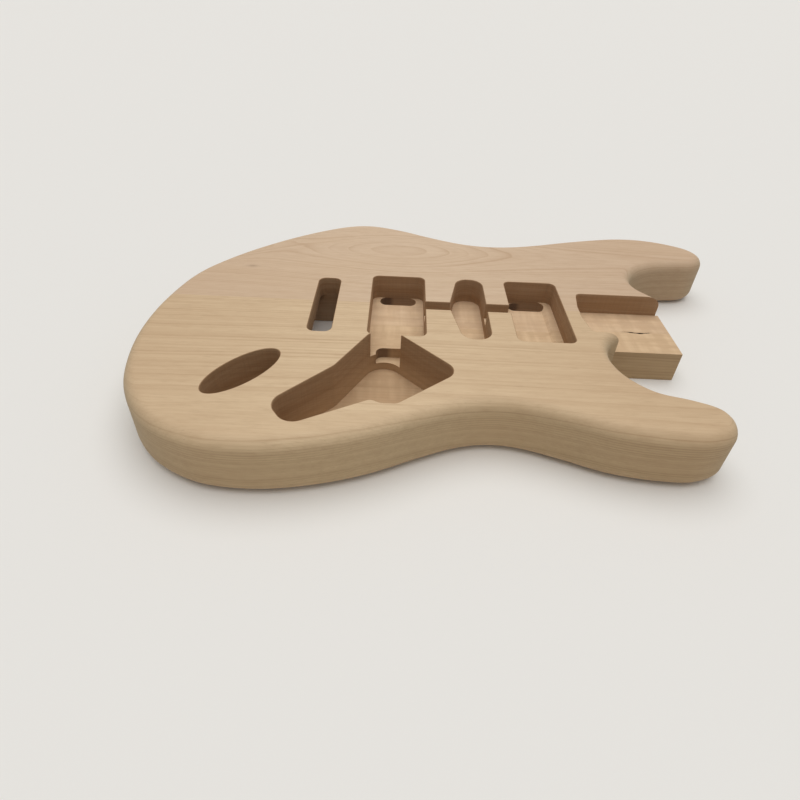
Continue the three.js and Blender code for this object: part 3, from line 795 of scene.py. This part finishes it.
def middle_shape(cut):
    """The middle pickup cavity in plan, with round ends and one bellied side."""
    far, near = cut.middle_y + cut.middle_width / 2, cut.middle_y - cut.middle_width / 2
    side, end = along(cut.middle_x), along(cut.middle_x - cut.middle_end_length)
    belly = (along(cut.middle_x - cut.middle_length), cut.middle_y)
    corner = cut.middle_end_length * MIDDLE_ROUNDING
    return rounded([(side, near), (side, far), (end, far), belly, (end, near)],
                   [corner, corner, corner, cut.middle_end_length * MIDDLE_BELLY, corner])


def control_shape(cut):
    """The control cavity in plan."""
    return rounded([(along(cut.control_x) + a * cut.control_length, cut.control_y + b * cut.control_width)
                    for a, b, _ in CONTROL_CORNERS], [radius for _, _, radius in CONTROL_CORNERS])


def jack_shape(cut):
    """The oval jack recess in plan."""
    turns = np.arange(OVAL_POINTS) / OVAL_POINTS * 2 * math.pi
    cos, sin = math.cos(cut.jack_turn), math.sin(cut.jack_turn)
    oval = np.column_stack([np.cos(turns) * cut.jack_long, np.sin(turns) * cut.jack_short])
    return oval @ np.array([[cos, sin], [-sin, cos]]) + (along(cut.jack_x), cut.jack_y)


def plunge_x(cut, pickup_x):
    """Where the cutter was started in the leg slots of a pickup cavity."""
    return pickup_x - (cut.leg_length - cut.plunge_width) / 2 + cut.plunge_clearance


def step_cutters(cut, x, y):
    """The deeper part of the neck pickup cavity beside its step, and the slope up to the step."""
    step, corner, slope = cut.neck_step_length, cut.pickup_corner, cut.neck_step_ramp
    floor = BODY_THICKNESS - cut.pickup_depth
    deep = rectangle(along(x - step / 2), y, cut.pickup_length - step, cut.pickup_width, corner)
    yield from_top("neck_pickup_deep", deep, cut.pickup_depth)
    ramp = rectangle(along(x + cut.pickup_length / 2 - step) - corner / 2, y, corner,
                     cut.pickup_width - cut.leg_width - 2 * slope, corner * RAMP_ROUNDING)
    crest = floor + cut.neck_step_height
    yield stack("neck_step_ramp", ramp, [(floor, 0.0), (crest, slope), (crest + MM, slope)],
                (FLOOR, FLOOR, FLOOR))


def pickup_cutters(cut, kind, x, y):
    """One double-coil pickup's cavity and its leg slots; the neck's has a shallower step."""
    stepped = kind == "neck"
    shape = rectangle(along(x), y, cut.pickup_length, cut.pickup_width, cut.pickup_corner)
    depth = cut.pickup_depth - (cut.neck_step_height if stepped else 0.0)
    yield from_top(kind + "_pickup", shape, depth, cut.rim_ease)
    if stepped:
        yield from step_cutters(cut, x, y)
    for side, name in ((-1, "near"), (1, "far")):
        leg_y = y + side * (cut.pickup_width - cut.leg_width) / 2
        leg = rectangle(along(x), leg_y, cut.leg_length, cut.leg_width, cut.leg_width * LEG_ROUNDING)
        yield from_top(f"{kind}_leg_{name}", leg, cut.leg_depth)
        # The photo shows a whole floor in the near leg slot of the bridge cavity
        if kind == "bridge" and name == "near":
            continue
        plunge = rectangle(along(plunge_x(cut, x)), leg_y, cut.plunge_width, cut.plunge_width,
                           cut.plunge_width * LEG_ROUNDING)
        yield from_top(f"{kind}_plunge_{name}", plunge, cut.plunge_depth, floor=WALL)


def cavity_cutters(cut):
    """Every cutter for the top, the back and the drilled passages."""
    ease, bridge_x, neck_x = cut.rim_ease, cut.bridge_pickup_x, cut.neck_pickup_x
    yield from_top("neck_pocket", pocket_shape(cut), cut.pocket_depth, ease)
    yield joint_crack(cut)
    yield from pickup_cutters(cut, "bridge", bridge_x, cut.bridge_pickup_y)
    yield from pickup_cutters(cut, "neck", neck_x, cut.neck_pickup_y)
    yield from_top("middle_pickup", middle_shape(cut), cut.pickup_depth, ease)
    channel_x, channel_length = along((bridge_x + neck_x) / 2), neck_x - bridge_x
    channel = rectangle(channel_x, cut.channel_y, channel_length, cut.channel_width, 0)
    yield from_top("wiring_channel", channel, cut.channel_depth, ease)
    yield from_top("control_cavity", control_shape(cut), cut.control_depth, ease)
    yield from_top("jack_recess", jack_shape(cut), cut.jack_depth, ease)
    slot = rectangle(along(cut.slot_x), cut.slot_y, cut.slot_length, cut.slot_width, cut.slot_corner)
    yield from_top("vibrato_slot", slot, BODY_THICKNESS + OVERRUN, ease)
    block = rectangle(along(cut.block_x), cut.slot_y, cut.block_length, cut.slot_width, cut.back_corner)
    yield from_back("block_well", block, cut.block_depth, ease)
    spring_x = along(cut.spring_far_x - cut.spring_length / 2)
    spring = rectangle(spring_x, 0, cut.spring_length, cut.spring_width, cut.back_corner)
    yield from_back("spring_cavity", spring, cut.spring_depth, ease)
    ends = [Vector((along(end), cut.wire_bore_y, cut.wire_bore_z))
            for end in (cut.wire_bore_start, cut.wire_bore_end)]
    yield bore("wire_bore", cut.wire_bore_radius, *ends)
    ends = [Vector((along(plunge_x(cut, bridge_x)), end, cut.ground_bore_z))
            for end in (cut.ground_bore_start, cut.ground_bore_end)]
    yield bore("ground_bore", cut.ground_bore_radius, *ends)


def work(item, operation, tool):
    """Adds one solid cut or join to an object."""
    step = item.modifiers.new(tool.name, "BOOLEAN")
    step.operation, step.object, step.solver = operation, tool, "MANIFOLD"


def work_in(item, *tools):
    """Makes the object's cuts and joins part of its mesh, and takes their tools out of the scene."""
    mesh = finished_mesh(item, BLANK)
    item.modifiers.clear()
    item.data = mesh
    drop(*tools)


def the_blank():
    """The blank that every cut is made in."""
    blank = bpy.data.objects.get(BLANK)
    if blank is None:
        raise RuntimeError("shape the blank first")
    return blank


def give_slots(mesh, materials):
    """Sets the mesh's material slots, and keeps which face has which."""
    kinds = np.zeros(len(mesh.polygons), np.int32)
    mesh.polygons.foreach_get("material_index", kinds)
    mesh.materials.clear()
    for material in materials:
        mesh.materials.append(material)
    mesh.polygons.foreach_set("material_index", kinds)


def plain_material(name):
    """An empty stand-in that only keeps a slot while the wood is cut."""
    return bpy.data.materials.get(name) or bpy.data.materials.new(name)


# Wood

def darker(tint, left):
    """A colour with only this share of it left."""
    return [channel * left for channel in tint]


class Wood(Tree):
    """The nodes of one board's wood. Its colour is laid on in layers, each over the ones before."""

    def __init__(self, material, board):
        super().__init__(material.node_tree)
        scene = bpy.context.scene
        self.tints, self.cut = scene.guitar_wood, scene.guitar_cavities
        self.grain = getattr(scene, f"guitar_{board}_grain")
        self.colour, self.line = (getattr(self.tints, f"{board}_{part}") for part in ("wood", "line"))
        self.pale, self.shift = self.colour, BOARD_SHIFTS[board]
        self.here = self.add("ShaderNodeTexCoord").outputs["Object"]
        self.x, self.y, self.z = self.add("ShaderNodeSeparateXYZ", [self.here]).outputs
        self.fibre = self.pattern("fibre")
        self.pores = self.shown("pores", self.pattern("pores"))
        self.lines = self.grain_lines()
        self.relief = {"fibre": self.fibre, "pores": self.pores}

    def pattern(self, name):
        """One of the named noise patterns."""
        scale, stretch, detail, rough = PATTERNS[name]
        shift = (0.0, 0.0, 0.0) if name in SHARED_PATTERNS else self.shift
        moved = self.add("ShaderNodeMapping", {"Vector": self.here, "Location": shift, "Scale": stretch})
        return self.add("ShaderNodeTexNoise", {
            "Vector": moved.outputs[0], "Scale": scale, "Detail": detail, "Roughness": rough}).outputs["Fac"]

    def chance(self, value, scale, detail):
        """Noise along one value, such as the number of a growth ring."""
        return self.add("ShaderNodeTexNoise", {
            "W": value, "Scale": scale, "Detail": detail, "Roughness": CHANCE_ROUGHNESS},
            noise_dimensions="1D").outputs["Fac"]

    def shown(self, name, value):
        """How strongly the named thing shows where it has this value."""
        low, high, bottom, top = SHOWS[name]
        return self.add("ShaderNodeMapRange", {
            "Value": value, "From Min": low, "From Max": high, "To Min": bottom, "To Max": top}).outputs[0]

    def hump(self, value, middle, width):
        """One at the middle, a half at this width from it, and falling smoothly to nothing beyond."""
        off = self.math("DIVIDE", self.math("SUBTRACT", value, middle), width)
        return self.math("DIVIDE", 1.0, self.math("ADD", self.math("MULTIPLY", off, off), 1.0))

    def wander(self, name, swing):
        """The named noise about zero, with this full swing."""
        return self.math("MULTIPLY", self.math("SUBTRACT", self.pattern(name), 0.5), swing)

    def lay(self, strength, tint, blend="MIX"):
        """Lays a colour over the one so far, or multiplies it in."""
        node = self.add("ShaderNodeMix", {0: strength}, data_type="RGBA", blend_type=blend)
        for socket, value in ((node.inputs[MIX_FIRST], self.colour), (node.inputs[MIX_SECOND], tint)):
            if isinstance(value, bpy.types.NodeSocket):
                self.tree.links.new(value, socket)
            else:
                socket.default_value = (*value, 1.0)
        self.colour = node.outputs[MIX_RESULT]

    def rings(self):
        """The number of the growth ring: rings about a heart that bends up under the oval figure."""
        grain = self.grain
        across = self.math("SUBTRACT", self.y, grain.heart_y)
        oval = self.hump(self.x, along(grain.oval_x), grain.oval_length)
        bend = self.math("MULTIPLY", oval, grain.oval_rise)
        deep = self.math("SUBTRACT", self.math("SUBTRACT", self.z, grain.heart_z), bend)
        square = self.math("ADD", self.math("MULTIPLY", across, across), self.math("MULTIPLY", deep, deep))
        reach = self.math("ADD", self.math("SQRT", square), self.wander("drift", grain.drift))
        return self.math("DIVIDE", self.math("ADD", reach, self.wander("wave", grain.wave)), grain.spacing)

    def grain_lines(self):
        """Darker wood at the end of each ring, strong in some years and places and faint in others."""
        ring = self.rings()
        season = self.math("FRACT", ring)
        late = self.math("POWER", season, LATE_SHARPNESS)
        late = self.math("MULTIPLY", late, self.shown("late_end", season))
        year = self.shown("year", self.chance(self.math("FLOOR", ring), *YEARS))
        spot = self.shown("place", self.pattern("place"))
        group = self.shown("group", self.chance(ring, *YEAR_GROUPS))
        lines = self.math("MULTIPLY", self.math("MULTIPLY", late, year), spot)
        lines = self.math("MULTIPLY", lines, LINE_SHARE)
        return self.math("ADD", lines, self.math("MULTIPLY", group, GROUP_SHARE))

    def raw(self, board):
        """The wood as every surface has it: growth lines, fibre, pores, clouds, painted shade towards both
        ends of the boards, and the bass board's knot.
        """
        tints = self.tints
        self.lay(self.lines, self.line)
        self.lay(self.shown("fibre", self.fibre), self.line)
        self.lay(self.shown("speck", self.pattern("speck")), self.line)
        self.lay(self.math("MULTIPLY", self.pores, PORE_STRENGTH), darker(self.line, PORE_LEFT))
        self.lay(self.shown("cloud", self.pattern("cloud")), tints.warm)
        # Painted shade: the boards darken towards both ends of the body
        self.lay(self.shown("ends", self.hump(self.x, along(tints.painted_end_shade_middle), tints.painted_end_shade_length)), self.line)
        if board == "bass":
            knot = self.math("MULTIPLY", self.hump(self.x, along(tints.knot_x), KNOT_ALONG),
                             self.hump(self.y, tints.knot_y, KNOT_ACROSS))
            self.lay(self.shown("knot", knot), tints.knot)

    def sanded(self):
        """Greyer end grain, and sides whose lines are a little deeper than the top's and whose colour is
        darker, partly the side grain's own tone and partly painted shade.
        """
        normal = self.add("ShaderNodeNewGeometry").outputs["Normal"]
        facing = self.add("ShaderNodeSeparateXYZ", [normal]).outputs
        end = self.math("POWER", self.math("ABSOLUTE", facing["X"]), 2.0)
        self.lay(self.math("MULTIPLY", end, END_GRAIN_STRENGTH), self.tints.end_grain)
        side = self.math("SUBTRACT", 1.0, self.math("ABSOLUTE", facing["Z"]))
        lines = self.math("MULTIPLY", self.lines, self.math("MULTIPLY", side, LINES_ON[SANDED]))
        self.lay(lines, darker(self.line, SIDE_LINE_LEFT))
        # Partly the side grain's own tone, partly painted shade: the more a face turns to the side, the
        # darker it is made
        self.lay(side, self.tints.side_tone_and_shade, "MULTIPLY")

    def routed_wall(self):
        """Wood scorched by the passes of the cutter, with painted light that makes the walls paler low down,
        and darker walls in the leg slots near where the cutter was started.
        """
        scorched = darker(self.tints.routed_wall, SCORCH_LEFT)
        self.relief["passes"] = self.pattern("passes")
        self.lay(self.shown("passes", self.relief["passes"]), self.tints.routed_wall)
        self.lay(self.shown("chatter", self.pattern("chatter")), scorched)
        # Painted light: the lower a wall lies, the paler its colour is made
        self.lay(self.shown("painted_wall_light", self.z), self.pale)
        self.lay(self.math("MULTIPLY", self.lines, LINES_ON[WALL]), scorched)
        for pickup_x in (self.cut.bridge_pickup_x, self.cut.neck_pickup_x):
            # The leg slots' walls are darkened near where the cutter was started
            self.lay(self.plunge_darkening(pickup_x), self.tints.plunge_dark)

    def plunge_darkening(self, pickup_x):
        """How much a leg slot's walls are darkened, near the place where the cutter was started."""
        mark = self.shown("plunge_darkening", self.hump(self.x, along(plunge_x(self.cut, pickup_x)), PLUNGE_DARK_REACH))
        near = self.math("LESS_THAN", self.math("ABSOLUTE", self.y), self.cut.pickup_width / 2 + MM)
        for test, depth in (("LESS_THAN", self.cut.pickup_depth), ("GREATER_THAN", self.cut.leg_depth)):
            near = self.math("MULTIPLY", near, self.math(test, self.z, BODY_THICKNESS - depth))
        return self.math("MULTIPLY", mark, near)

    def routed_floor(self):
        """Fresh pale wood hatched by the cutter, painted shade on the floors deep down, and painted shade in
        the open joint.
        """
        self.relief["hatch"] = self.math("MULTIPLY", self.pattern("cut_along"), self.pattern("cut_across"))
        self.lay(self.shown("bruise", self.pattern("bruise")), self.tints.routed_floor)
        self.lay(self.shown("hatch", self.relief["hatch"]), self.line)
        self.lay(self.math("MULTIPLY", self.lines, LINES_ON[FLOOR]), self.line)
        # Painted shade: the deeper a floor lies, the darker its colour is made
        self.lay(self.shown("painted_floor_shade", self.z), self.line)
        # Painted shade inside the open joint, below the pocket's floor and close to the joint
        below = self.math("LESS_THAN", self.z, BODY_THICKNESS - self.tints.crack_shade_below)
        gap = self.math("MULTIPLY", self.math("LESS_THAN", self.math("ABSOLUTE", self.y), CRACK_SHADE_REACH),
                        self.math("GREATER_THAN", self.x, along(self.tints.crack_shade_from)))
        self.lay(self.math("MULTIPLY", below, gap), self.tints.crack)

    def height(self):
        """The height of the fine relief."""
        height, *others = [self.math("MULTIPLY", value, RELIEF[name]) for name, value in self.relief.items()]
        for part in others:
            height = self.math("ADD", height, part)
        return height


def wood_material(board, surface):
    """Unfinished wood of one board, on a sanded face, a routed wall or a routed floor."""
    material = bpy.data.materials.new(f"{board}_{SURFACE_NAMES[surface]}")
    material.use_nodes = True
    material.node_tree.nodes.clear()
    n = Wood(material, board)
    n.raw(board)
    (n.sanded, n.routed_wall, n.routed_floor)[surface]()
    bump = n.add("ShaderNodeBump", {
        "Strength": RELIEF_STRENGTH[surface], "Distance": RELIEF_DEPTH, "Height": n.height()}).outputs[0]
    roughness = n.tints.roughness + (0.0 if surface == SANDED else ROUTED_ROUGHER)
    skin = n.add("ShaderNodeBsdfPrincipled", {"Base Color": n.colour, "Normal": bump, "Roughness": roughness})
    n.add("ShaderNodeOutputMaterial", {"Surface": skin.outputs[0]})
    return material


# Operators

def saw_board(board, node, low_y, high_y):
    """Takes one board out of the routed blank, gives it its wood, and lets it stand for its CAD node."""
    blank = the_blank()
    half = slab(board + "_half", (CAD_LOW.x - OVERRUN, low_y, -OVERRUN),
                (CAD_HIGH.x + OVERRUN, high_y, BODY_THICKNESS + OVERRUN))
    work(blank, "INTERSECT", half)
    mesh = finished_mesh(blank, board + "_board")
    blank.modifiers.clear()
    drop(half)
    give_slots(mesh, [wood_material(board, surface) for surface in (SANDED, WALL, FLOOR)])
    mesh.shade_smooth()
    mesh.set_sharp_from_angle(angle=SHARP_ANGLE)
    made = new_object(board + "_board", mesh)
    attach(made, "root")
    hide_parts(node)


class GUITAR_OT_blank(bpy.types.Operator):
    """Shape the glued blank: outline, rounded edge, contours and heel"""

    bl_idname = "guitar.blank"
    bl_label = "Shape Blank"

    def execute(self, context):
        scene = context.scene
        blank, cavities = scene.guitar_blank, scene.guitar_cavities
        stand_ins = [plain_material("cut_" + name) for name in SURFACE_NAMES]
        rough = rough_blank(blank, cavities)
        carved = new_object(BLANK, carve_contours(rough, blank, stand_ins[SANDED]))
        give_slots(carved.data, stand_ins)
        half, end = cavities.pocket_width / 2, along(cavities.pocket_length)
        heel = slab("heel", (along(blank.heel_root), -half, 0), (end, half, BODY_THICKNESS))
        trim = slab("heel_trim", (end, -half, -OVERRUN), (end + BODY_LENGTH, half, BODY_THICKNESS + OVERRUN))
        work(carved, "UNION", heel)
        work(carved, "DIFFERENCE", trim)
        work_in(carved, rough, heel, trim)
        return {"FINISHED"}


class GUITAR_OT_cavities(bpy.types.Operator):
    """Rout and drill every cavity into the blank"""

    bl_idname = "guitar.cavities"
    bl_label = "Rout Cavities"

    def execute(self, context):
        blank, cutters = the_blank(), list(cavity_cutters(context.scene.guitar_cavities))
        for cutter in cutters:
            work(blank, "DIFFERENCE", cutter)
        work_in(blank, *cutters)
        return {"FINISHED"}


class GUITAR_OT_bass_board(bpy.types.Operator):
    """Take the bass board from the routed blank"""

    bl_idname = "guitar.bass_board"
    bl_label = "Make Bass Board"

    def execute(self, context):
        saw_board("bass", BOARD_NODES[0], 0.0, CAD_HIGH.y + OVERRUN)
        return {"FINISHED"}


class GUITAR_OT_treble_board(bpy.types.Operator):
    """Take the treble board from the routed blank, and put the blank away"""

    bl_idname = "guitar.treble_board"
    bl_label = "Make Treble Board"

    def execute(self, context):
        saw_board("treble", BOARD_NODES[1], CAD_LOW.y - OVERRUN, 0.0)
        drop(bpy.data.objects[BLANK])
        return {"FINISHED"}


def soft_sun(name, level, spread):
    """An even light from one side of the sky, with soft shadows."""
    data = bpy.data.lights.new(name, "SUN")
    data.energy, data.angle = level, spread
    made = bpy.data.objects.new(name, data)
    bpy.context.scene.collection.objects.link(made)
    made.location = LAMP_PLACE
    made.rotation_euler = (-made.location).to_track_quat("-Z", "Y").to_euler()


def pale_world(stage):
    """Even light from all round, and a pale backdrop for the camera and for reflections."""
    world = bpy.data.worlds.new("studio")
    bpy.context.scene.world = world
    world.use_nodes = True
    world.node_tree.nodes.clear()
    n = Tree(world.node_tree)
    ray = n.add("ShaderNodeLightPath").outputs
    seen = n.math("MAXIMUM", ray["Is Camera Ray"], ray["Is Glossy Ray"])
    seen = n.math("MAXIMUM", seen, ray["Is Transmission Ray"])
    light = n.add("ShaderNodeBackground", {"Color": (1, 1, 1, 1), "Strength": stage.sky}).outputs[0]
    show = n.add("ShaderNodeBackground", {"Color": (*stage.floor, 1.0), "Strength": 1.0}).outputs[0]
    both = n.add("ShaderNodeMixShader", [seen, light, show]).outputs[0]
    n.add("ShaderNodeOutputWorld", {"Surface": both})


def floor_material(stage, roughness=0.9, gloss=0.2):
    """Matt pale floor."""
    material = bpy.data.materials.new("floor_paper")
    material.use_nodes = True
    skin = material.node_tree.nodes["Principled BSDF"]
    skin.inputs["Base Color"].default_value = (*stage.floor, 1.0)
    skin.inputs["Roughness"].default_value = roughness
    skin.inputs["Specular IOR Level"].default_value = gloss
    return material


class GUITAR_OT_stage(bpy.types.Operator):
    """Set the floor, the lamp and the camera"""

    bl_idname = "guitar.stage"
    bl_label = "Set Stage"

    def execute(self, context):
        stage = context.scene.guitar_stage
        half = stage.floor_size / 2
        floor = slab("floor", (-half, -half, FLOOR_BOTTOM), (half, half, FLOOR_TOP))
        floor.data.materials.append(floor_material(stage))
        pale_world(stage)
        soft_sun("key_lamp", stage.key, stage.key_spread)
        data = bpy.data.cameras.new("camera")
        data.lens, data.sensor_width, data.shift_y = stage.lens, SENSOR_WIDTH, stage.rise
        data.clip_start = NEAREST_SEEN
        camera = bpy.data.objects.new("camera", data)
        context.scene.collection.objects.link(camera)
        camera.location, camera.rotation_euler = stage.camera_place, stage.camera_turn
        context.scene.camera = camera
        context.scene.view_settings.view_transform = "Standard"
        return {"FINISHED"}


class GUITAR_PT_panel(bpy.types.Panel):
    """Lists the steps that build the body, and the sizes and colours they use"""

    bl_idname = "GUITAR_PT_panel"
    bl_label = "Guitar Body"
    bl_space_type = "VIEW_3D"
    bl_region_type = "UI"
    bl_category = "Guitar Body"

    def draw(self, context):
        for operator in OPERATORS:
            self.layout.operator(operator.bl_idname)
        for attribute in SETTINGS:
            group = getattr(context.scene, attribute)
            column = self.layout.box().column()
            for name in group.bl_rna.properties.keys():
                if name not in ("rna_type", "name"):
                    column.prop(group, name)


OPERATORS = (GUITAR_OT_blank, GUITAR_OT_cavities, GUITAR_OT_bass_board, GUITAR_OT_treble_board,
             GUITAR_OT_stage)
SETTINGS = {
    "guitar_blank": GuitarBlankSettings,
    "guitar_cavities": GuitarCavitySettings,
    "guitar_wood": GuitarWoodSettings,
    "guitar_bass_grain": GuitarBassGrainSettings,
    "guitar_treble_grain": GuitarTrebleGrainSettings,
    "guitar_stage": GuitarStageSettings,
}


def register():
    """Adds the settings, the operators and the panel."""
    for name, group in SETTINGS.items():
        bpy.utils.register_class(group)
        setattr(bpy.types.Scene, name, PointerProperty(type=group))
    for operator in OPERATORS:
        bpy.utils.register_class(operator)
    bpy.utils.register_class(GUITAR_PT_panel)


def unregister():
    """Takes them away again."""
    bpy.utils.unregister_class(GUITAR_PT_panel)
    for operator in reversed(OPERATORS):
        bpy.utils.unregister_class(operator)
    for name, group in reversed(SETTINGS.items()):
        delattr(bpy.types.Scene, name)
        bpy.utils.unregister_class(group)


def main():
    """Builds the body and its stage."""
    register()
    bpy.ops.guitar.blank()
    bpy.ops.guitar.cavities()
    bpy.ops.guitar.bass_board()
    bpy.ops.guitar.treble_board()
    bpy.ops.guitar.stage()


if __name__ == "__main__":
    main()
